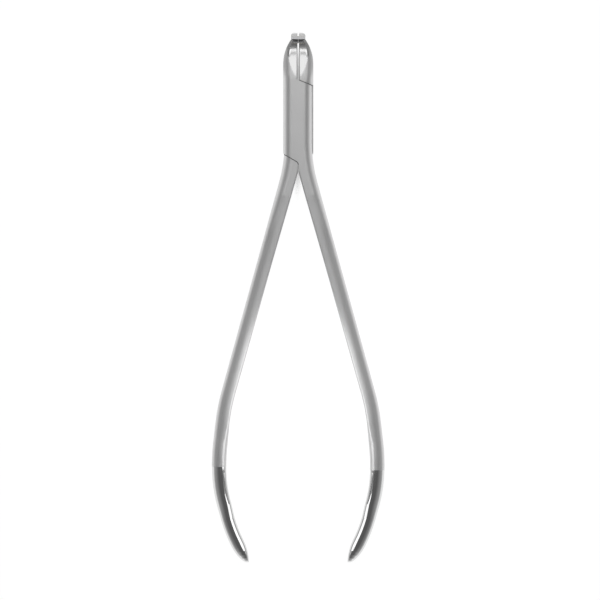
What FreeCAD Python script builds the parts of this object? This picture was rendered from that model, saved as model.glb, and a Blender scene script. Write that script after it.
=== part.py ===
import FreeCAD
import Part
import Sketcher
import math
import os
import re
from FreeCAD import Placement
from FreeCAD import Rotation
from FreeCAD import Vector

# Orthodontic cutting pliers with a lap joint, long slim handles and tips bent up at a right angle.
# X runs across the jaws, Y from the pivot towards the jaw tips, Z up through the thickness.
# Everything is drawn from the rear face up, then lowered by the thickness of the joint,
# so that the origin is where the pivot axis meets the front face.

PARTS_FOLDER = "parts"

# Driving dimensions, in millimetres and degrees
SIZES = {
    # lap joint
    "joint_width": 8.6,
    "joint_thickness": 6.2,
    "joint_round": 2.5,
    "joint_top": 11.6,
    "lap_clearance": 0.04,
    "shoulder_gap": 0.2,
    "upper_shoulder": 11.4,
    "upper_angle": 22.0,
    "lower_shoulder": 12.05,
    "lower_angle": 30.0,
    "lower_corner_round": 1.0,
    "crotch_gap": 0.24,
    # each plate is set in a little on the side of its own handle
    "plate_step": 0.4,
    # where the joint runs out into a handle
    "flare_start": 6.34,
    "flare_radius": 42.0,
    "root_length": 3.5,
    "root_width": 4.44,
    # jaws up to the bend
    "jaw_slot": 0.45,
    "jaw_edge_round": 0.35,
    "jaw_side_start": 16.0,
    "jaw_front_start": 12.2,
    "jaw_front_drop": 2.42,
    "jaw_rear_start": 12.0,
    "jaw_rear_rise": 2.51,
    "jaw_end_round": 1.3,
    "jaw_overlap": 0.16,
    # bent head
    "head_half_width": 2.05,
    "head_depth": 1.78,
    "head_reach": 8.4,
    "head_base": 23.04,
    "head_corner_round": 0.85,
    "head_lip_round": 0.3,
    "head_edge_round": 0.4,
    "head_back_curve": 4.0,
    "head_back_drop": 0.12,
    "bend_radius": 2.5,
    "bend_overlap": 0.02,
    "neck_length": 2.64,
    "neck_close": 1.44,
    "neck_flare": 0.75,
    "neck_half_width": 1.75,
    "neck_notch": 0.15,
    "tip_gap": 0.04,
    # carbide inserts
    "insert_thickness": 0.8,
    "insert_length": 3.0,
    "insert_relief": 0.05,
    "braze_thickness": 0.06,
    # handles
    "handle_splay": 15.4,
    "grip_length": 58.6,
    "grip_waist": 20.0,
    "outer_bend_radius": 59.3,
    "outer_bend_sweep": 8.75,
    "outer_taper_length": 5.6,
    "palm_bend_radius": 41.2,
    "palm_sweep": 13.85,
    "palm_taper_length": 4.0,
    "end_sweep": 10.8,
    "tip_length": 6.6,
    "tip_turn": 26.0,
    "grip_width": 4.22,
    "bend_width": 4.0,
    "palm_width": 4.15,
    "end_width": 3.95,
    "grip_thickness": 5.6,
    "bend_thickness": 5.3,
    "palm_thickness": 5.0,
    "end_thickness": 4.4,
    "grip_round": 1.9,
    "grip_flat": 0.5,
    "handle_edge_round": 0.35,
    "bend_edge_round": 0.5,
    "palm_edge_round": 1.2,
    "end_edge_round": 1.4,
    # pivot screw
    "screw_head_diameter": 5.4,
    "screw_head_rim": 0.35,
    "screw_head_depth": 1.05,
    "screw_head_inset": 0.06,
    "screw_bearing_diameter": 4.0,
    "screw_thread_diameter": 3.0,
    "screw_thread_length": 2.0,
    "screw_slot_width": 0.8,
    "screw_slot_depth": 0.5,
    "screw_clearance": 0.03,
}

doc = FreeCAD.newDocument("pliers")
sheet = doc.addObject("Spreadsheet::Sheet", "Sizes")
for row, (size_name, size_value) in enumerate(SIZES.items(), start=1):
    sheet.set("A%d" % row, size_name)
    sheet.set("B%d" % row, str(size_value))
    sheet.setAlias("B%d" % row, size_name)
doc.recompute()

# How a sketch lies: across the tool, along it, or flat
ACROSS = Rotation(Vector(1, 0, 0), 90)
ALONG = Rotation(Vector(1, 1, 1), 120)
FLAT = Rotation()

# Largest rounds of a section, as shares of its height and breadth
ROUND_OF_HEIGHT = 0.46
ROUND_OF_BREADTH = 0.8
EDGE_OF_HEIGHT = 0.3
EDGE_OF_BREADTH = 0.15
SOFT_EDGE_OF_BREADTH = 0.34
FLAT_OF_HEIGHT = 0.2
CROWNED_OF_REACH = 0.88
CROWNED_OF_BREADTH = 0.5

MIDDLE = "joint_thickness / 2"
FRONT_LAP = "(joint_thickness + lap_clearance) / 2"
REAR_LAP = "(joint_thickness - lap_clearance) / 2"


def linked(text):
    """Points every size name in an expression at its cell of the sheet."""
    def cell(word):
        return "Sizes." + word.group() if word.group() in SIZES else word.group()
    return re.sub(r"[a-z_]+", cell, text)


def value(text):
    return float(sheet.evalExpression(linked(text).replace("Sizes.", "")))


def bind(obj, prop, text):
    obj.setExpression(prop, linked(text))


def new_sketch(name, lie, origin=("0", "0", "0")):
    sketch = doc.addObject("Sketcher::SketchObject", name)
    sketch.Placement = Placement(Vector(*[value(text) for text in origin]), lie)
    for axis, text in zip("xyz", origin):
        bind(sketch, "Placement.Base." + axis, text)
    return sketch


def drive(sketch, constraint, name, text):
    index = sketch.addConstraint(constraint)
    sketch.renameConstraint(index, name)
    bind(sketch, "Constraints." + name, text)


def arc_between(start, end, radius, bend):
    """Arc from start to end that curves to the left of its way (bend 1) or to the right (bend -1)."""
    chord = end - start
    reach = math.sqrt(max(radius ** 2 - (chord.Length / 2) ** 2, 0))
    left = Vector(-chord.y, chord.x, 0).normalize()
    centre = (start + end) / 2 + left * reach * bend
    first, last = (start, end) if bend > 0 else (end, start)
    begin = math.atan2(first.y - centre.y, first.x - centre.x)
    finish = math.atan2(last.y - centre.y, last.x - centre.x)
    return Part.ArcOfCircle(Part.Circle(centre, Vector(0, 0, 1), radius), begin, finish)


def outline(name, corners, lie=FLAT, origin=("0", "0", "0"), mirrored=False):
    """Closed sketch through corners given as size expressions.

    A corner may also hold the radius and the bend of an arc that leads to the next corner.
    """
    sketch = new_sketch(name, lie, origin)
    sign = -1 if mirrored else 1
    texts = [("-(%s)" % corner[0] if mirrored else corner[0], corner[1]) for corner in corners]
    points = [Vector(value(across), value(up), 0) for across, up in texts]
    ends = []
    for number, corner in enumerate(corners):
        start = points[number]
        end = points[(number + 1) % len(points)]
        if len(corner) == 2:
            sketch.addGeometry(Part.LineSegment(start, end), False)
            ends.append((1, 2))
        else:
            bend = corner[3] * sign
            sketch.addGeometry(arc_between(start, end, value(corner[2]), bend), False)
            ends.append((1, 2) if bend > 0 else (2, 1))
    for number in range(len(corners)):
        following = (number + 1) % len(corners)
        joined = (number, ends[number][1], following, ends[following][0])
        sketch.addConstraint(Sketcher.Constraint("Coincident", *joined))
    for number, (across, up) in enumerate(texts):
        first = ends[number][0]
        point = points[number]
        drive(sketch, Sketcher.Constraint("DistanceX", -1, 1, number, first, point.x), "x%d" % number, across)
        drive(sketch, Sketcher.Constraint("DistanceY", -1, 1, number, first, point.y), "y%d" % number, up)
        if len(corners[number]) > 2:
            radius = corners[number][2]
            drive(sketch, Sketcher.Constraint("Radius", number, value(radius)), "radius%d" % number, radius)
    return sketch


def quarter(x, y, radius, turn, sweep=90):
    """Arc about a centre, drawn counterclockwise from an angle in degrees."""
    circle = Part.Circle(Vector(x, y, 0), Vector(0, 0, 1), radius)
    return Part.ArcOfCircle(circle, math.radians(turn), math.radians(turn + sweep))


def rounded_section(name, sides, rounds, placement):
    """Rectangle with its own radius at the outer corners and at both inner corners.

    sides are the inner, outer, lower and upper edges, and the outer side lies at the higher X.
    """
    inner, outer, lower, upper = sides
    height = "((%s) - (%s))" % (upper, lower)
    breadth = "((%s) - (%s))" % (outer, inner)
    corner = "min(%s; %s * %s; %s * %s)" % (rounds[0], ROUND_OF_HEIGHT, height, ROUND_OF_BREADTH, breadth)
    edge = "min(%s; %s * %s; %s * %s)" % (rounds[1], EDGE_OF_HEIGHT, height, EDGE_OF_BREADTH, breadth)
    left, right, low, high = [value(side) for side in sides]
    corner_r, edge_r = value(corner), value(edge)
    sketch = doc.addObject("Sketcher::SketchObject", name)
    sketch.addGeometry([
        Part.LineSegment(Vector(left + edge_r, low, 0), Vector(right - corner_r, low, 0)),
        quarter(right - corner_r, low + corner_r, corner_r, -90),
        Part.LineSegment(Vector(right, low + corner_r, 0), Vector(right, high - corner_r, 0)),
        quarter(right - corner_r, high - corner_r, corner_r, 0),
        Part.LineSegment(Vector(right - corner_r, high, 0), Vector(left + edge_r, high, 0)),
        quarter(left + edge_r, high - edge_r, edge_r, 90),
        Part.LineSegment(Vector(left, high - edge_r, 0), Vector(left, low + edge_r, 0)),
        quarter(left + edge_r, low + edge_r, edge_r, 180),
    ], False)
    sketch.addConstraint([Sketcher.Constraint("Horizontal", 0), Sketcher.Constraint("Horizontal", 4)])
    close_section(sketch, sides, corner, edge)
    sketch.Placement = placement
    return sketch


def crowned_section(name, sides, rounds, placement):
    """Section with the same sides and rounds, but with a crowned front and rear."""
    inner, outer, lower, upper = sides
    height = "((%s) - (%s))" % (upper, lower)
    breadth = "((%s) - (%s))" % (outer, inner)
    flat = "min(grip_flat; %s * %s)" % (FLAT_OF_HEIGHT, height)
    reach = "((%s - %s) / 2)" % (height, flat)
    corner = "min(%s; %s * %s; %s * %s)" % (rounds[0], CROWNED_OF_REACH, reach, CROWNED_OF_BREADTH, breadth)
    edge = "min(%s; %s * %s; %s * %s)" % (rounds[1], EDGE_OF_HEIGHT, height, SOFT_EDGE_OF_BREADTH, breadth)
    left, right, low, high = [value(side) for side in sides]
    corner_r, edge_r, half_flat, rise = value(corner), value(edge), value(flat) / 2, value(reach)
    middle = (low + high) / 2
    run = right - corner_r - left - edge_r
    crown = (run ** 2 + rise ** 2 - corner_r ** 2) / (2 * (rise - corner_r))
    tilt = math.degrees(math.atan2(run, crown - rise))
    sketch = doc.addObject("Sketcher::SketchObject", name)
    sketch.addGeometry([
        quarter(left + edge_r, low + crown, crown, -90, tilt),
        quarter(right - corner_r, middle - half_flat, corner_r, tilt - 90, 90 - tilt),
        Part.LineSegment(Vector(right, middle - half_flat, 0), Vector(right, middle + half_flat, 0)),
        quarter(right - corner_r, middle + half_flat, corner_r, 0, 90 - tilt),
        quarter(left + edge_r, high - crown, crown, 90 - tilt, tilt),
        quarter(left + edge_r, high - edge_r, edge_r, 90),
        Part.LineSegment(Vector(left, high - edge_r, 0), Vector(left, low + edge_r, 0)),
        quarter(left + edge_r, low + edge_r, edge_r, 180),
    ], False)
    # the crowns start square to the inner rounds
    for crown_side, edge_side in ((0, 7), (4, 5)):
        sketch.addConstraint(Sketcher.Constraint("Vertical", crown_side, 3, edge_side, 3))
    close_section(sketch, sides, corner, edge)
    for end, sign in ((1, "-"), (2, "+")):
        text = "((%s) + (%s)) / 2 %s %s / 2" % (lower, upper, sign, flat)
        place = Sketcher.Constraint("DistanceY", -1, 1, 2, end, value(text))
        drive(sketch, place, "flat_end_%d" % end, text)
    sketch.Placement = placement
    return sketch


def close_section(sketch, sides, corner, edge):
    """Joins the eight edges of a section smoothly and ties them to the sizes."""
    inner, outer, lower, upper = sides
    count = sketch.GeometryCount
    for number in range(count):
        sketch.addConstraint(Sketcher.Constraint("Tangent", number, 2, (number + 1) % count, 1))
    for number in (2, 6):
        sketch.addConstraint(Sketcher.Constraint("Vertical", number))
    for name, axis, number, end, text in (
        ("inner", "X", 6, 1, inner),
        ("outer", "X", 2, 1, outer),
        ("lower", "Y", 0, 1, lower),
        ("upper", "Y", 4, 2, upper),
    ):
        drive(sketch, Sketcher.Constraint("Distance" + axis, -1, 1, number, end, value(text)), name, text)
    for name, number, text in (
        ("rear_round", 1, corner),
        ("front_round", 3, corner),
        ("front_edge", 5, edge),
        ("rear_edge", 7, edge),
    ):
        drive(sketch, Sketcher.Constraint("Radius", number, value(text)), name, text)


def extruded(name, sketch, length):
    prism = doc.addObject("Part::Extrusion", name)
    prism.Base = sketch
    prism.DirMode = "Normal"
    prism.Solid = True
    bind(prism, "LengthFwd", length)
    return prism


def revolved(name, sketch):
    turned = doc.addObject("Part::Revolution", name)
    turned.Source = sketch
    turned.Axis = Vector(0, 0, 1)
    turned.Angle = 360
    turned.Solid = True
    return turned


def lofted(name, sections):
    loft = doc.addObject("Part::Loft", name)
    loft.Sections = sections
    loft.Solid = True
    return loft


def fused(name, pieces):
    fusion = doc.addObject("Part::MultiFuse", name)
    fusion.Shapes = pieces
    return fusion


def shared(name, pieces):
    common = doc.addObject("Part::MultiCommon", name)
    common.Shapes = pieces
    return common


def cut(name, base, tool):
    result = doc.addObject("Part::Cut", name)
    result.Base = base
    result.Tool = tool
    return result


def mirrored(name, source):
    image = doc.addObject("Part::Mirroring", name)
    image.Source = source
    image.Normal = Vector(1, 0, 0)
    return image


def block(name, corner, lengths):
    box = doc.addObject("Part::Box", name)
    for axis, text in zip("xyz", corner):
        bind(box, "Placement.Base." + axis, text)
    for prop, text in zip(("Length", "Width", "Height"), lengths):
        bind(box, prop, text)
    return box


def rounded_edges(name, base, choose):
    """Fillets each edge for which choose gives a radius."""
    doc.recompute()
    picked = []
    for number, edge in enumerate(base.Shape.Edges, start=1):
        radius = choose(edge)
        if radius:
            picked.append((number, radius, radius))
    fillet = doc.addObject("Part::Fillet", name)
    fillet.Base = base
    fillet.Edges = picked
    return fillet


def middle_of(edge):
    return edge.valueAt((edge.FirstParameter + edge.LastParameter) / 2)


def direction_of(edge):
    return edge.tangentAt((edge.FirstParameter + edge.LastParameter) / 2)


# Handle side of the joint, drawn for a handle on the right; the crotch lies just past the middle
PLATE_SIDE = "joint_width / 2 - plate_step"
FLARE_X = "%s + flare_radius * (1 - cos(handle_splay))" % PLATE_SIDE
FLARE_Y = "-flare_start - flare_radius * sin(handle_splay)"
ROOT_OUT_X = "%s + root_length * sin(handle_splay)" % FLARE_X
ROOT_OUT_Y = "%s - root_length * cos(handle_splay)" % FLARE_Y
ROOT_IN_X = "%s - root_width * cos(handle_splay)" % ROOT_OUT_X
ROOT_IN_Y = "%s - root_width * sin(handle_splay)" % ROOT_OUT_Y
CROTCH_SETBACK = 1.4
CROTCH_X = "-%s * handle_edge_round" % CROTCH_SETBACK
CROTCH_Y = "%s + (%s - (%s)) / tan(handle_splay)" % (ROOT_IN_Y, ROOT_IN_X, CROTCH_X)


def joint_blank():
    """Full thickness of the joint, from the foot of the jaws to the root of the handle."""
    half = "joint_width / 2"
    corners = [
        ("-" + half, "joint_top"),
        ("-" + half, CROTCH_Y),
        (CROTCH_X, CROTCH_Y),
        (ROOT_IN_X, ROOT_IN_Y),
        (ROOT_OUT_X, ROOT_OUT_Y),
        (FLARE_X, FLARE_Y, "flare_radius", -1),
        (PLATE_SIDE, "-flare_start"),
        (PLATE_SIDE, "joint_top"),
    ]
    slab = extruded("joint_slab", outline("joint_outline", corners), "joint_thickness")
    big = value("min(joint_round; %s * joint_thickness)" % ROUND_OF_HEIGHT)
    small = value("handle_edge_round")
    inside = value("joint_width / 4")

    def choose(edge):
        if abs(direction_of(edge).y) < 0.9:
            return None
        return small if abs(middle_of(edge).x) < inside else big

    return rounded_edges("joint_blank", slab, choose)


def curve_through(rise, run):
    """Radius of an arc that leaves a straight tangentially and gains the rise over the run."""
    return "(((%s) ^ 2 + (%s) ^ 2) / (2 * (%s)))" % (rise, run, rise)


JAW_END = "(head_base + jaw_overlap)"
SIDE_CURVE = curve_through("joint_width / 2 - head_half_width", "head_base - jaw_side_start")
FRONT_CURVE = curve_through("jaw_front_drop", "%s - jaw_front_start" % JAW_END)
REAR_CURVE = curve_through("jaw_rear_rise", "%s - jaw_rear_start" % JAW_END)
NECK_Y = "(head_base - neck_length)"


def arc_rise(curve, run):
    return "(%s - sqrt(%s ^ 2 - (%s) ^ 2))" % (curve, curve, run)


def jaw_blank():
    """Right jaw up to the bend, as a loft of sections across the tool."""
    sections = []
    steps = 6
    for step in range(steps + 1):
        part = step / steps
        along = "(joint_top + (%s - joint_top) * %.4f)" % (JAW_END, part)
        side = "max(%s - jaw_side_start; 0)" % along
        front = "max(%s - jaw_front_start; 0)" % along
        rear = "max(%s - jaw_rear_start; 0)" % along
        outer = "joint_width / 2 - %s" % arc_rise(SIDE_CURVE, side)
        upper = "joint_thickness - %s" % arc_rise(FRONT_CURVE, front)
        lower = arc_rise(REAR_CURVE, rear)
        radius = "(joint_round + (jaw_end_round - joint_round) * %.4f)" % part
        placement = Placement(Vector(0, value(along), 0), ACROSS)
        sides = ("jaw_slot / 2", outer, lower, upper)
        rounds = (radius, "jaw_edge_round")
        sections.append(rounded_section("jaw_section_%d" % step, sides, rounds, placement))
    return lofted("jaw_blank", sections)


# Where the front curve of the jaw meets the hollow of the bend
HOLLOW_Y = "(head_base - bend_radius)"
HOLLOW_START = "((%s + bend_radius * jaw_front_start / %s) / (1 + bend_radius / %s))" % (
    HOLLOW_Y, FRONT_CURVE, FRONT_CURVE)
HOLLOW_DROP = arc_rise(FRONT_CURVE, HOLLOW_START + " - jaw_front_start")
HOLLOW_Z = "(joint_thickness - %s - bend_overlap)" % HOLLOW_DROP
HOLLOW_LEAN = "asin((%s - jaw_front_start) / %s)" % (HOLLOW_START, FRONT_CURVE)
WALL_Z = "(%s + bend_radius * cos(%s))" % (HOLLOW_Z, HOLLOW_LEAN)
HEAD_TOP = "(head_base + head_depth)"


def head_blank():
    """Right half of the bent head: the side view and the front view of it, in common."""
    back_y = "(%s - head_back_curve)" % HEAD_TOP
    jaw_rear = arc_rise(REAR_CURVE, back_y + " - jaw_rear_start")
    back_z = "(head_back_curve + %s + 2 * head_back_drop)" % jaw_rear
    side_corners = [
        (HOLLOW_START, HOLLOW_Z, "bend_radius", 1),
        ("head_base", WALL_Z),
        ("head_base", "head_reach"),
        ("%s - head_lip_round" % HEAD_TOP, "head_reach", "head_lip_round", -1),
        (HEAD_TOP, "head_reach - head_lip_round"),
        (HEAD_TOP, back_z, "head_back_curve", -1),
        (back_y, "%s - head_back_curve" % back_z),
        (HOLLOW_START, "%s - head_back_curve + head_back_drop" % back_z),
    ]
    side_view = extruded("head_side", outline("head_side_view", side_corners, ALONG), "joint_width")
    front_corners = [
        ("head_half_width / 2", NECK_Y),
        ("head_half_width + neck_flare", NECK_Y),
        ("neck_half_width", "head_base - neck_notch"),
        ("head_half_width", "head_base + neck_notch"),
        ("head_half_width", "%s - head_corner_round" % HEAD_TOP, "head_corner_round", 1),
        ("head_half_width - head_corner_round", HEAD_TOP),
        ("tip_gap / 2", HEAD_TOP),
        ("tip_gap / 2", "head_base - neck_close"),
    ]
    front_view = extruded("head_front", outline("head_front_view", front_corners), "head_reach")
    return shared("head_block", [side_view, front_view])


def head_rounded(head):
    """Breaks the outer edge that runs up the hollow and the underside of the head."""
    radius = value("head_edge_round")
    limit = value("head_half_width - head_corner_round")
    lowest = value(HOLLOW_Z)
    base = value("head_base")

    def choose(edge):
        spot = middle_of(edge)
        outer = spot.x > limit and spot.z > lowest - 0.01
        return radius if outer and spot.y < base + 0.01 and abs(direction_of(edge).x) < 0.5 else None

    return rounded_edges("head_blank", head, choose)


class HandleWalk:
    """Right handle, built span by span along its outer side from the joint to the tip."""

    def __init__(self):
        self.heading = value("handle_splay")
        self.place = Vector(value(ROOT_OUT_X), value(ROOT_OUT_Y), value(MIDDLE))
        self.spans = []
        self.section = None

    def outward(self):
        return Vector(math.cos(math.radians(self.heading)), math.sin(math.radians(self.heading)), 0)

    def onward(self):
        return Vector(math.sin(math.radians(self.heading)), -math.cos(math.radians(self.heading)), 0)

    def slice(self, shape, width, thickness, rounds):
        """Section at the current place, reaching inward from the outer side."""
        name = "handle_section_%d" % len(doc.Objects)
        lie = Placement(self.place, Rotation(Vector(0, 0, 1), self.heading) * ACROSS)
        half = "((%s) / 2)" % thickness
        self.section = shape(name, ("-(%s)" % width, "0", "-" + half, half), rounds, lie)
        return self.section

    def straight(self, name, length, width, thickness, edge):
        """Span that tapers evenly from the last section to a new one."""
        before = self.section
        self.place = self.place + self.onward() * value(length)
        span = lofted(name, [before, self.slice(crowned_section, width, thickness, ("grip_round", edge))])
        span.Ruled = True
        self.spans.append(span)

    def bend(self, name, radius, sweep, width, thickness, edge):
        """Span of one section that turns inward about the centre of the bend."""
        centre = self.place - self.outward() * value(radius)
        span = doc.addObject("Part::Revolution", name)
        span.Source = self.section
        span.Base = centre
        span.Axis = Vector(0, 0, -1)
        span.Solid = True
        bind(span, "Angle", sweep)
        self.spans.append(span)
        self.heading -= value(sweep)
        self.place = centre + self.outward() * value(radius)
        self.slice(crowned_section, width, thickness, ("grip_round", edge))

    def tip(self, name, width, thickness, edge):
        """Pointed end whose inner side turns back towards the middle of the tool."""
        start = self.heading
        inside = self.place - self.outward() * value(width)
        sections = [self.section]
        before = 0
        for share in TIP_SHARES:
            self.heading = start + value("tip_turn") * (before + share) / 2
            inside = inside + self.onward() * value("tip_length") * (share - before)
            self.heading = start + value("tip_turn") * share
            # a full round would leave the end no breadth
            roundness = min(TIP_ROUNDNESS, 0.99) * share
            narrowing = math.sqrt(1 - roundness ** 2)
            thinning = math.sqrt(1 - roundness ** 4)
            breadth = "((%s) * %.4f)" % (width, narrowing)
            depth = "((%s) * %.4f)" % (thickness, thinning)
            self.place = inside + self.outward() * value(breadth)
            sections.append(self.slice(crowned_section, breadth, depth, ("grip_round", edge)))
            before = share
        point = lofted(name, sections)
        point.Ruled = True
        self.spans.append(point)


# Where the sections of the tip lie along it, and how near its end comes to a full round
TIP_SHARES = (0.25, 0.47, 0.66, 0.82, 0.93, 1.0)
TIP_ROUNDNESS = 0.97


def handle_blank():
    walk = HandleWalk()
    walk.slice(rounded_section, "root_width", "joint_thickness", ("joint_round", "handle_edge_round"))
    grip = ("grip_width", "grip_thickness", "handle_edge_round")
    bend = ("bend_width", "bend_thickness", "bend_edge_round")
    palm = ("palm_width", "palm_thickness", "palm_edge_round")
    end = ("end_width", "end_thickness", "end_edge_round")
    walk.straight("handle_shoulder", "grip_waist", *grip)
    walk.straight("handle_grip", "grip_length - grip_waist", *bend)
    walk.bend("handle_bend", "outer_bend_radius", "outer_bend_sweep", *bend)
    walk.straight("handle_bend_taper", "outer_taper_length", *palm)
    walk.bend("handle_bend_end", "outer_bend_radius", "outer_bend_sweep", *palm)
    walk.bend("handle_palm", "palm_bend_radius", "palm_sweep", *palm)
    walk.straight("handle_palm_taper", "palm_taper_length", *end)
    walk.bend("handle_end", "palm_bend_radius", "end_sweep", *end)
    walk.tip("handle_tip", *end)
    return fused("handle_blank", walk.spans)


# Shoulder lines of the lap joint, as the height where each crosses a given X of the plan
def upper_line(across, gap="0"):
    return "upper_shoulder + (%s) / cos(upper_angle) - (%s) * tan(upper_angle)" % (gap, across)


def lower_line(across, gap="0"):
    return "-lower_shoulder - (%s) / cos(lower_angle) + (%s) * tan(lower_angle)" % (gap, across)


def lap_tools(name, flipped):
    """Space that the other lever needs in this one, for a lever whose handle is on the right."""
    far = "joint_width"
    top = "(head_base + head_depth + joint_width)"
    low = "(-lower_shoulder - joint_width)"
    slot = "jaw_slot / 2"
    crotch = "crotch_gap / 2"
    half_turn = "tan((90 - lower_angle) / 2)"
    setback = "lower_corner_round * " + half_turn
    corner = lower_line("-" + crotch)
    full_depth = "joint_thickness + 2 * joint_round"
    below = ("0", "0", "-joint_round")

    other_jaw = outline(name + "_other_jaw", [
        ("-" + slot, upper_line("-" + slot)),
        (far, upper_line(far)),
        (far, top),
        ("-" + slot, top),
    ], FLAT, below, flipped)
    other_handle = outline(name + "_other_handle", [
        ("-" + far, lower_line(far)),
        ("-" + far, low),
        (crotch, low),
        (crotch, "%s - %s" % (corner, setback), "lower_corner_round", 1),
        (
            "%s - %s * cos(lower_angle)" % (crotch, setback),
            "%s + %s * sin(lower_angle)" % (corner, setback),
        ),
    ], FLAT, below, flipped)

    inner_round = "(lower_corner_round - shoulder_gap)"
    inner_setback = "%s * %s" % (inner_round, half_turn)
    own_corner = lower_line(crotch, "shoulder_gap")
    floor = ("0", "0", REAR_LAP if flipped else "-joint_round")
    other_plate = outline(name + "_other_plate", [
        ("-" + far, upper_line(far, "shoulder_gap")),
        ("-" + far, low),
        (crotch, low),
        (crotch, "%s - %s" % (own_corner, inner_setback), inner_round, -1),
        (
            "%s + %s * cos(lower_angle)" % (crotch, inner_setback),
            "%s + %s * sin(lower_angle)" % (own_corner, inner_setback),
        ),
        (far, lower_line(far, "shoulder_gap")),
        (far, top),
        ("-" + slot, top),
        ("-" + slot, upper_line(slot, "shoulder_gap")),
    ], FLAT, floor, flipped)
    half_depth = "%s + joint_round" % FRONT_LAP
    return [
        extruded(name + "_jaw_space", other_jaw, full_depth),
        extruded(name + "_handle_space", other_handle, full_depth),
        extruded(name + "_plate_space", other_plate, half_depth),
    ]


# Pivot screw, as heights above the rear face
HEAD_EDGE = "screw_head_inset + screw_head_rim"
HEAD_FOOT = "screw_head_inset + screw_head_depth"
THREAD_END = "%s + screw_thread_length" % FRONT_LAP


def screw_profile(name, clearance, start, end):
    """Half section of the screw, or of its hole where clearance is added all round."""
    head = "screw_head_diameter / 2 + %s" % clearance
    bearing = "screw_bearing_diameter / 2 + %s" % clearance
    return outline(name, [
        ("0", start),
        (head, start),
        (head, HEAD_EDGE + " + " + clearance),
        (bearing, HEAD_FOOT + " + " + clearance),
        (bearing, end),
        ("0", end),
    ], ACROSS)


def rod(name, diameter, start, end):
    cylinder = doc.addObject("Part::Cylinder", name)
    bind(cylinder, "Radius", "%s / 2" % diameter)
    bind(cylinder, "Height", "%s - (%s)" % (end, start))
    bind(cylinder, "Placement.Base.z", start)
    return cylinder


def pivot_screw():
    shank = revolved("screw_shank", screw_profile("screw_section", "0", "screw_head_inset", FRONT_LAP))
    thread = rod("screw_thread", "screw_thread_diameter", MIDDLE, THREAD_END)
    solid = fused("screw_solid", [shank, thread])
    corner = ("-screw_head_diameter", "-screw_slot_width / 2", "-screw_head_inset")
    lengths = ("2 * screw_head_diameter", "screw_slot_width", "2 * screw_head_inset + screw_slot_depth")
    return cut("pivot_screw", solid, block("screw_slot", corner, lengths))


def insert_spaces():
    """Room in the right head for the insert, and for the insert with the braze behind it."""
    start = "head_reach - insert_length"
    corner = ("-head_half_width", NECK_Y)
    breadth = "3 * head_half_width"
    deep = "insert_thickness + neck_length"
    insert = block("insert_space", corner + (start,), (breadth, deep, "2 * insert_length"))
    low = start + " - braze_thickness"
    seat = block("seat_space", corner + (low,), (breadth, deep + " + braze_thickness", "3 * insert_length"))
    return insert, seat


def lever(name, side, jaw, head, handle, joint, hole):
    """One forged lever, side 1 with its handle on the right and its plate in front."""
    rear = side < 0
    if rear:
        pieces = [mirrored(name + "_joint", joint), jaw, head, mirrored(name + "_handle", handle)]
    else:
        pieces = [joint, mirrored(name + "_jaw", jaw), mirrored(name + "_head", head), handle]
    blank = fused(name + "_blank", pieces)
    tools = fused(name + "_tools", lap_tools(name, rear) + [hole])
    return cut(name, blank, tools)


joint = joint_blank()
jaw = jaw_blank()
head = head_rounded(head_blank())
handle = handle_blank()
insert_space, seat_space = insert_spaces()
steel_head = cut("steel_head", head, seat_space)
screw = pivot_screw()
rear_hole_section = screw_profile("rear_hole_section", "screw_clearance", "-joint_round", MIDDLE)
rear_hole = revolved("rear_hole", rear_hole_section)
front_hole = rod("front_hole", "screw_thread_diameter", MIDDLE, THREAD_END)

carbide = shared("carbide", [head, insert_space])
relief = outline("relief_outline", [
    ("tip_gap / 2", "head_base"),
    ("tip_gap / 2 + insert_relief", "head_base + insert_thickness"),
    ("-head_half_width", "head_base + insert_thickness"),
    ("-head_half_width", "head_base"),
])
insert = cut("insert", carbide, extruded("relief", relief, "2 * head_reach"))
braze = cut("braze", shared("seat_fill", [head, seat_space]), insert_space)

finished = {
    "front_lever": lever("front_lever", 1, jaw, steel_head, handle, joint, front_hole),
    "rear_lever": lever("rear_lever", -1, jaw, steel_head, handle, joint, rear_hole),
    "cutting_insert_right": insert,
    "cutting_insert_left": mirrored("insert_left", insert),
    "braze_right": braze,
    "braze_left": mirrored("braze_left", braze),
    "pivot_screw": screw,
}
for label, piece in finished.items():
    piece.Label = label
    if piece.TypeId != "Part::Mirroring":
        bind(piece, "Placement.Base.z", "-joint_thickness")
doc.recompute()

failed = [item.Name for item in doc.Objects if "Invalid" in item.State or "Error" in item.State]
if failed:
    raise RuntimeError("objects that failed: " + ", ".join(failed))
for label, piece in finished.items():
    if piece.Shape.isNull() or not piece.Shape.isValid():
        raise RuntimeError(label + " has no valid shape")
os.makedirs(PARTS_FOLDER, exist_ok=True)
for label, piece in finished.items():
    print(label, len(piece.Shape.Solids), round(piece.Shape.Volume, 3))
    piece.Shape.exportStep(os.path.join(PARTS_FOLDER, label + ".step"))
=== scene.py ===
import math

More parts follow.
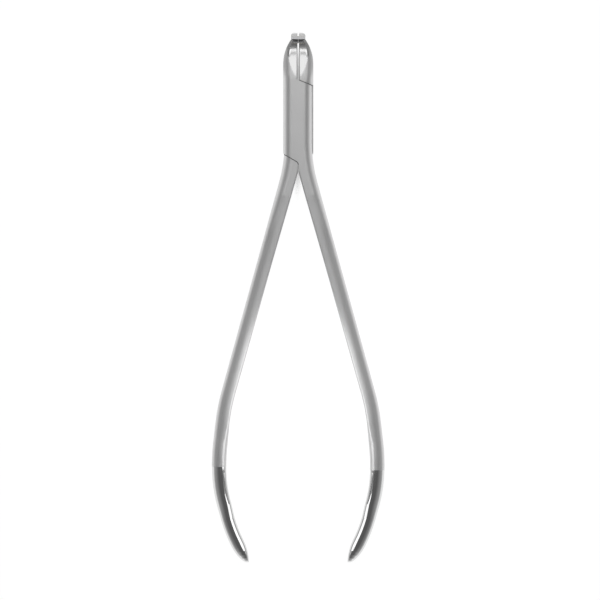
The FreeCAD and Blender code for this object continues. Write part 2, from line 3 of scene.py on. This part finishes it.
import bpy
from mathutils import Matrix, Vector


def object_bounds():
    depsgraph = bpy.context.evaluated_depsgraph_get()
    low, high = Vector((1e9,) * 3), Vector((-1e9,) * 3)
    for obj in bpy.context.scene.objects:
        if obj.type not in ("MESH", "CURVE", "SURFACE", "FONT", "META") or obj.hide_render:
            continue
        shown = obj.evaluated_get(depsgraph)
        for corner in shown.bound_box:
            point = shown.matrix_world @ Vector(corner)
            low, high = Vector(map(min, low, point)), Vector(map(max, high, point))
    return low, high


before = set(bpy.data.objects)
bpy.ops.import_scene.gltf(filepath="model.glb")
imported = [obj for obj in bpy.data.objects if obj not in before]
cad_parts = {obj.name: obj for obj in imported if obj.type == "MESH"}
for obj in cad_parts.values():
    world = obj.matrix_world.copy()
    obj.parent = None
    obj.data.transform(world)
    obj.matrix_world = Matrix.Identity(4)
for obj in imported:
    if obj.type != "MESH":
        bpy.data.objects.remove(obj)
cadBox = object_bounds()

# Orthodontic cutting pliers, lying on a white table and seen from straight above.
# One unit is one metre, X across the jaws, Y towards the jaw tips, Z up.
mm = 0.001
print("frame loaded:", sorted(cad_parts))


# small helpers for the shader nodes

def newMaterial(name):
    material = bpy.data.materials.new(name)
    material.use_nodes = True
    material.node_tree.nodes.clear()
    return material, material.node_tree


def addNode(tree, kind, **settings):
    node = tree.nodes.new(kind)
    for key, setting in settings.items():
        setattr(node, key, setting)
    return node


def feed(tree, socket, source):
    # a plain number or colour is typed in, anything else is a link
    if isinstance(source, bpy.types.NodeSocket):
        tree.links.new(source, socket)
    else:
        socket.default_value = source


def worked(tree, operation, first, second=0.0, third=0.0):
    node = addNode(tree, "ShaderNodeMath", operation=operation)
    for socket, source in zip(node.inputs, (first, second, third)):
        feed(tree, socket, source)
    return node.outputs[0]


def spread(tree, source, low, high, newLow, newHigh, smooth=False):
    node = addNode(tree, "ShaderNodeMapRange", clamp=True)
    node.interpolation_type = "SMOOTHSTEP" if smooth else "LINEAR"
    feed(tree, node.inputs["Value"], source)
    for name, number in (("From Min", low), ("From Max", high), ("To Min", newLow), ("To Max", newHigh)):
        feed(tree, node.inputs[name], number)
    return node.outputs["Result"]


def around(tree, noise, swing, middle):
    # a noise runs from 0 to 1, so this swings evenly to both sides of the middle
    return worked(tree, "MULTIPLY_ADD", noise, swing, middle - swing / 2)


def mixed(tree, share, first, second):
    node = addNode(tree, "ShaderNodeMix", data_type="FLOAT")
    feed(tree, node.inputs[0], share)
    feed(tree, node.inputs[2], first)
    feed(tree, node.inputs[3], second)
    return node.outputs[0]


def mixedColour(tree, share, first, second):
    node = addNode(tree, "ShaderNodeMix", data_type="RGBA")
    feed(tree, node.inputs[0], share)
    feed(tree, node.inputs[6], first)
    feed(tree, node.inputs[7], second)
    return node.outputs[2]


def colourOf(tree, red, green, blue):
    colour = addNode(tree, "ShaderNodeCombineColor")
    for socket, share in zip(colour.inputs, (red, green, blue)):
        feed(tree, socket, share)
    return colour.outputs[0]


def parted(tree, vector):
    split = addNode(tree, "ShaderNodeSeparateXYZ")
    feed(tree, split.inputs[0], vector)
    return split.outputs


def onPiece(tree):
    return addNode(tree, "ShaderNodeTexCoord").outputs["Object"]


def noiseAt(tree, place, scale, detail=2.0, roughness=0.5, stretch=(1, 1, 1), turn=0.0):
    mapping = addNode(tree, "ShaderNodeMapping")
    mapping.inputs["Scale"].default_value = stretch
    mapping.inputs["Rotation"].default_value = (0, 0, turn)
    feed(tree, mapping.inputs["Vector"], place)
    noise = addNode(tree, "ShaderNodeTexNoise")
    feed(tree, noise.inputs["Vector"], mapping.outputs["Vector"])
    noise.inputs["Scale"].default_value = scale
    noise.inputs["Detail"].default_value = detail
    noise.inputs["Roughness"].default_value = roughness
    return noise.outputs["Fac"]


def openness(tree, reach, samples):
    # 1 in the open and towards 0 in narrow places
    node = addNode(tree, "ShaderNodeAmbientOcclusion", samples=samples)
    node.inputs["Distance"].default_value = reach
    return node.outputs["AO"]


def bumped(tree, height, distance, strength=0.5):
    bump = addNode(tree, "ShaderNodeBump")
    bump.inputs["Strength"].default_value = strength
    bump.inputs["Distance"].default_value = distance
    feed(tree, bump.inputs["Height"], height)
    return bump


def surface(tree, shader, kind="ShaderNodeOutputMaterial"):
    out = addNode(tree, kind)
    feed(tree, out.inputs["Surface"], shader.outputs[0])


def metal(tree, colour, roughness, bump):
    shader = addNode(tree, "ShaderNodeBsdfPrincipled")
    shader.inputs["Metallic"].default_value = 1.0
    feed(tree, shader.inputs["Base Color"], colour)
    feed(tree, shader.inputs["Roughness"], roughness)
    feed(tree, shader.inputs["Normal"], bump.outputs[0])
    surface(tree, shader)


# lever steel, satin all over with a mirror polish on the jaws and the handle ends

lever = {
    "satinLevel": 0.70,
    "satinRoughness": 0.44,
    "streakRoughness": 0.10,
    "polishLevel": 0.71,
    "polishRoughness": 0.095,
    "cloudRoughness": 0.05,
    "grainSize": 0.11 * mm,
    "grainTone": 0.10,
    "grainHeight": 0.0022 * mm,
    "cloudScale": 180,
    "cloudTone": 0.05,
    "streakWidth": 0.09 * mm,
    "streakLength": 4.0 * mm,
    "streakHeight": 0.35,
    "splay": 15.4,
    "maskWander": 0.12 * mm,
    "maskWanderScale": 900,
    "maskEdge": 0.10 * mm,
    "jawPolishFoot": 11.3 * mm,
    "jawPolishFade": 2.0 * mm,
    "jawPolishBow": 0.70,
    "slotEdge": (0.35 * mm, 0.65 * mm),
    "jawRise": (11.5 * mm, 15.5 * mm),
    "jawBelly": 0.02,
    "jawSide": (0.3, 0.9),
    "jawSideShade": 0.25,
    "jawSoftness": 0.7,
    "neck": (19.9 * mm, 20.7 * mm),
    "neckPolish": 0.2,
    "neckShade": 0.7,
    "headFoot": 23.0 * mm,
    "headEdge": 0.1 * mm,
    "creviceReach": 0.35 * mm,
    "creviceOpen": (0.3, 0.8),
    "creviceShade": 0.3,
}
handleEnds = {"front_lever": -100.0 * mm, "rear_lever": -99.0 * mm}


def polishOf(tree, node, place, across, along):
    # the handle end is polished up to a straight masked edge
    wander = noiseAt(tree, place, lever["maskWanderScale"])
    edge = worked(tree, "MULTIPLY_ADD", wander, lever["maskWander"], along)
    end, half = handleEnds[node], lever["maskEdge"]
    endPolish = spread(tree, edge, end + half, end - half, 0, 1, True)

    # the jaws are buffed out towards their sides and down to a bowed foot
    square = worked(tree, "MULTIPLY", across, across)
    bow = worked(tree, "MULTIPLY", square, lever["jawPolishBow"] / mm)
    foot = lever["jawPolishFoot"]
    fromFoot = worked(tree, "SUBTRACT", along, bow)
    jawPolish = spread(tree, fromFoot, foot, foot + lever["jawPolishFade"], 0, 1, True)
    fromMiddle = worked(tree, "ABSOLUTE", across)
    onFront = spread(tree, fromMiddle, *lever["slotEdge"], 0, 1, True)
    belowHead = spread(tree, along, *lever["neck"], 1, lever["neckPolish"], True)
    jawPolish = worked(tree, "MULTIPLY", jawPolish, worked(tree, "MULTIPLY", onFront, belowHead))
    return worked(tree, "MAXIMUM", endPolish, jawPolish)


def shadeOf(tree, along, normal, upJaws):
    # painted shade: darker down the steep sides of the jaws, in the crevices and on the neck below the
    # head
    steep = spread(tree, parted(tree, normal)[2], *lever["jawSide"], 1, 0, True)
    jawSide = worked(tree, "MULTIPLY", steep, upJaws)
    shade = worked(tree, "MULTIPLY_ADD", jawSide, -lever["jawSideShade"], 1.0)
    daylight = openness(tree, lever["creviceReach"], 6)
    crevice = spread(tree, daylight, *lever["creviceOpen"], lever["creviceShade"], 1.0)
    shade = worked(tree, "MULTIPLY", shade, crevice)
    neck = spread(tree, along, *lever["neck"], 1.0, lever["neckShade"], True)
    head = spread(tree, along, lever["headFoot"] - lever["headEdge"], lever["headFoot"], 0, 1, True)
    return worked(tree, "MULTIPLY", shade, worked(tree, "MAXIMUM", neck, head))


def buffedForm(tree, across, normal, upJaws):
    # the buffed jaws belly out a little from the slot to their sides
    square = worked(tree, "MULTIPLY", across, across)
    cube = worked(tree, "MULTIPLY", worked(tree, "ABSOLUTE", across), square)
    fall = worked(tree, "MULTIPLY", cube, -lever["jawBelly"] / 3 / mm ** 2)
    belly = bumped(tree, worked(tree, "MULTIPLY", fall, upJaws), 1.0, 1.0)
    # and the buffing takes the edge off their slopes
    rise = addNode(tree, "ShaderNodeCombineXYZ")
    feed(tree, rise.inputs[2], worked(tree, "MULTIPLY", upJaws, lever["jawSoftness"]))
    lifted = addNode(tree, "ShaderNodeVectorMath", operation="ADD")
    feed(tree, lifted.inputs[0], normal)
    feed(tree, lifted.inputs[1], rise.outputs[0])
    softened = addNode(tree, "ShaderNodeVectorMath", operation="NORMALIZE")
    feed(tree, softened.inputs[0], lifted.outputs[0])
    feed(tree, belly.inputs["Normal"], softened.outputs[0])
    return belly


def leverSteel(node, side):
    material, tree = newMaterial("lever_steel_" + node)
    place = onPiece(tree)
    across, along = parted(tree, place)[:2]
    normal = addNode(tree, "ShaderNodeNewGeometry").outputs["Normal"]
    upJaws = spread(tree, along, *lever["jawRise"], 0, 1, True)
    polish = polishOf(tree, node, place, across, along)

    grain = noiseAt(tree, place, 1 / lever["grainSize"], 3.0, 0.6)
    turn = math.radians(-side * lever["splay"])
    longways = (1, lever["streakWidth"] / lever["streakLength"], 1)
    streak = noiseAt(tree, place, 1 / lever["streakWidth"], 2.0, 0.5, longways, turn)
    cloud = noiseAt(tree, place, lever["cloudScale"], 3.0, 0.55)

    tone = around(tree, cloud, lever["cloudTone"], lever["satinLevel"] - lever["grainTone"] / 2)
    tone = worked(tree, "MULTIPLY_ADD", grain, lever["grainTone"], tone)
    level = mixed(tree, polish, tone, lever["polishLevel"])
    level = worked(tree, "MULTIPLY", level, shadeOf(tree, along, normal, upJaws))

    roughSatin = around(tree, streak, lever["streakRoughness"], lever["satinRoughness"])
    roughPolish = around(tree, cloud, lever["cloudRoughness"], lever["polishRoughness"])
    roughness = mixed(tree, polish, roughSatin, roughPolish)

    height = worked(tree, "MULTIPLY_ADD", streak, lever["streakHeight"], grain)
    height = worked(tree, "MULTIPLY", height, worked(tree, "SUBTRACT", 1.0, polish))
    bump = bumped(tree, height, lever["grainHeight"])
    feed(tree, bump.inputs["Normal"], buffedForm(tree, across, normal, upJaws).outputs[0])
    metal(tree, colourOf(tree, level, level, level), roughness, bump)
    return material


# carbide of the cutting inserts, dense and finely ground

insert = {
    "level": 0.56,
    "blueShare": 1.02,
    "speckScale": 12000,
    "speckTone": 0.12,
    "neckShade": 0.38,
    "headFoot": 23.0 * mm,
    "headEdge": 0.1 * mm,
    "roughness": 0.25,
    "grindRoughness": 0.1,
    "grindWidth": 0.03 * mm,
    "grindStretch": 0.03,
    "grindHeight": 0.0006 * mm,
}


def groundCarbide():
    material, tree = newMaterial("ground_carbide")
    place = onPiece(tree)
    lines = noiseAt(tree, place, 1 / insert["grindWidth"], 2.0, 0.5, (insert["grindStretch"], 1, 1))
    speck = noiseAt(tree, place, insert["speckScale"], 2.0, 0.6)
    tone = around(tree, speck, insert["speckTone"], insert["level"])
    along = parted(tree, place)[1]
    foot = insert["headFoot"]
    # painted shade: the carbide is darkened on the neck below the head
    paintedNeckShade = spread(tree, along, foot - insert["headEdge"], foot, insert["neckShade"], 1.0, True)
    tone = worked(tree, "MULTIPLY", tone, paintedNeckShade)
    roughness = around(tree, lines, insert["grindRoughness"], insert["roughness"])
    colour = colourOf(tree, tone, tone, worked(tree, "MULTIPLY", tone, insert["blueShare"]))
    metal(tree, colour, roughness, bumped(tree, lines, insert["grindHeight"]))
    return material


# silver solder that shows as a hair line round each insert

solder = {
    "colour": (0.66, 0.62, 0.52, 1.0),
    "worn": (0.50, 0.46, 0.38, 1.0),
    "patchScale": 4000,
    "patchHeight": 0.004 * mm,
    "roughness": 0.385,
    "patchRoughness": 0.15,
}


def solderSeam():
    material, tree = newMaterial("solder_seam")
    patch = noiseAt(tree, onPiece(tree), solder["patchScale"], 3.0, 0.6)
    colour = mixedColour(tree, patch, solder["colour"], solder["worn"])
    roughness = around(tree, patch, solder["patchRoughness"], solder["roughness"])
    metal(tree, colour, roughness, bumped(tree, patch, solder["patchHeight"], 0.6))
    return material


# pivot screw, whose turned head has fine rings round its axis

screw = {
    "level": 0.58,
    "unevenScale": 2500,
    "unevenTone": 0.10,
    "roughness": 0.24,
    "unevenRoughness": 0.12,
    "ringPitch": 0.07 * mm,
    "ringHeight": 0.0012 * mm,
}


def turnedScrew():
    material, tree = newMaterial("turned_screw")
    place = onPiece(tree)
    across, along = parted(tree, place)[:2]
    square = worked(tree, "MULTIPLY_ADD", across, across, worked(tree, "MULTIPLY", along, along))
    radius = worked(tree, "SQRT", square)
    rings = worked(tree, "SINE", worked(tree, "MULTIPLY", radius, 2 * math.pi / screw["ringPitch"]))
    uneven = noiseAt(tree, place, screw["unevenScale"])
    tone = around(tree, uneven, screw["unevenTone"], screw["level"])
    roughness = around(tree, uneven, screw["unevenRoughness"], screw["roughness"])
    bump = bumped(tree, worked(tree, "MULTIPLY", rings, uneven), screw["ringHeight"])
    metal(tree, colourOf(tree, tone, tone, tone), roughness, bump)
    return material


def dress(node, material):
    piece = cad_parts[node]
    piece.data.materials.clear()
    piece.data.materials.append(material)


dress("front_lever", leverSteel("front_lever", 1))
dress("rear_lever", leverSteel("rear_lever", -1))
carbide = groundCarbide()
seam = solderSeam()
for hand in ("left", "right"):
    dress("cutting_insert_" + hand, carbide)
    dress("braze_" + hand, seam)
dress("pivot_screw", turnedScrew())
print("metals dressed")


# table, light and camera

table = {
    "side": 3.0,
    "gap": 0.02 * mm,
    "paper": (0.9, 0.9, 0.9, 1.0),
    "whiteShare": 0.92,
    "glow": 1.06,
    "slotDepth": 8.0 * mm,
    "slotLight": 0.25,
    "slotLevel": 0.42,
    "crotchLight": 0.12,
    "crotchLevel": 0.05,
    "crotchSide": -5.0 * mm,
    "jawSide": 5.0 * mm,
}


def tableTop():
    half = table["side"] / 2
    height = cadBox[0].z - table["gap"]
    mesh = bpy.data.meshes.new("table_top")
    corners = [(-half, -half, height), (half, -half, height), (half, half, height), (-half, half, height)]
    mesh.from_pydata(corners, [], [(0, 1, 2, 3)])
    mesh.materials.append(whitePaper())
    top = bpy.data.objects.new("table_top", mesh)
    bpy.context.scene.collection.objects.link(top)


def whitePaper():
    material, tree = newMaterial("white_table")
    paper = addNode(tree, "ShaderNodeBsdfDiffuse")
    paper.inputs["Color"].default_value = table["paper"]
    glow = addNode(tree, "ShaderNodeEmission")
    path = addNode(tree, "ShaderNodeLightPath").outputs
    seen = worked(tree, "MAXIMUM", path["Is Camera Ray"], path["Is Glossy Ray"])
    seen = worked(tree, "MAXIMUM", seen, path["Is Transmission Ray"])
    # painted shadow: the table's glow is darkened where narrow slots let little light down to the table,
    # and the crotch of the handles narrows to nothing, unlike the gap of the jaws
    along = parted(tree, onPiece(tree))[1]
    ends = (table["crotchSide"], table["jawSide"])
    darkest = spread(tree, along, *ends, table["crotchLevel"], table["slotLevel"])
    full = spread(tree, along, *ends, table["crotchLight"], table["slotLight"])
    lit = spread(tree, openness(tree, table["slotDepth"], 8), 0.0, full, darkest, 1.0)
    feed(tree, glow.inputs["Strength"], worked(tree, "MULTIPLY", lit, table["glow"]))
    mix = addNode(tree, "ShaderNodeMixShader")
    feed(tree, mix.inputs[0], worked(tree, "MULTIPLY", seen, table["whiteShare"]))
    feed(tree, mix.inputs[1], paper.outputs[0])
    feed(tree, mix.inputs[2], glow.outputs[0])
    surface(tree, mix)
    return material


# strength is the brightness of the lamp's face, where 1 is white
lamps = {
    "panel_above": {"at": (0.0, -0.025, 0.50), "size": (0.50, 0.14), "strength": 0.315},
    "panel_fill": {"at": (0.0, 0.265, 0.41), "size": (0.50, 0.49), "strength": 0.40},
    "panel_jaws": {"at": (0.0, 0.090, 0.40), "size": (0.50, 0.120), "strength": 0.64},
    "panel_tips": {"at": (0.0, 0.334, 0.40), "size": (0.50, 0.332), "strength": 0.90},
    "panel_front": {"at": (0.0, 0.90, 0.43), "size": (1.0, 0.28), "strength": 0.8, "turn": -90},
    "panel_handles": {"at": (0.0, -0.080, 0.022), "size": (0.040, 0.040), "strength": 1.3},
    "panel_ends": {"at": (0.0, -0.1145, 0.020), "size": (0.036, 0.0166), "strength": 1.3},
}
room = {"top": 0.15, "rim": 0.78, "topHeight": 0.85, "rimHeight": 0.0}


def softbox(name, at, size, strength, turn=0):
    light = bpy.data.lights.new(name, "AREA")
    light.shape = "RECTANGLE"
    light.size, light.size_y = size
    light.energy = strength * math.pi * size[0] * size[1]
    lamp = bpy.data.objects.new(name, light)
    bpy.context.scene.collection.objects.link(lamp)
    lamp.location = at
    lamp.rotation_euler.x = math.radians(turn)
    lamp.visible_camera = False


def studio():
    world = bpy.data.worlds.new("pale_room")
    world.use_nodes = True
    tree = world.node_tree
    tree.nodes.clear()
    # the room is pale at the rim and darker overhead, and the camera sees plain white
    glow = addNode(tree, "ShaderNodeBackground")
    way = addNode(tree, "ShaderNodeTexCoord").outputs["Generated"]
    heights = (room["rimHeight"], room["topHeight"])
    level = spread(tree, parted(tree, way)[2], *heights, room["rim"], room["top"])
    feed(tree, glow.inputs["Strength"], level)
    white = addNode(tree, "ShaderNodeBackground")
    white.inputs["Color"].default_value = (1.0, 1.0, 1.0, 1.0)
    path = addNode(tree, "ShaderNodeLightPath").outputs
    mix = addNode(tree, "ShaderNodeMixShader")
    feed(tree, mix.inputs[0], path["Is Camera Ray"])
    feed(tree, mix.inputs[1], glow.outputs[0])
    feed(tree, mix.inputs[2], white.outputs[0])
    surface(tree, mix, "ShaderNodeOutputWorld")
    bpy.context.scene.world = world
    for name, lamp in lamps.items():
        softbox(name, **lamp)


view = {
    "middle": (0.51 * mm, -51.4 * mm),
    "width": 171.3 * mm,
    "lens": 700.0,
    "sensor": 36.0,
    "clip": (0.05, 20.0),
}


def cameraAbove():
    shot = bpy.data.cameras.new("camera")
    shot.lens = view["lens"]
    shot.sensor_width = view["sensor"]
    shot.clip_start, shot.clip_end = view["clip"]
    camera = bpy.data.objects.new("camera", shot)
    bpy.context.scene.collection.objects.link(camera)
    distance = view["width"] * view["lens"] / view["sensor"]
    camera.location = (*view["middle"], distance)
    bpy.context.scene.camera = camera


tableTop()
studio()
cameraAbove()
bpy.context.scene.view_settings.view_transform = "Standard"
print("table, light and camera set")
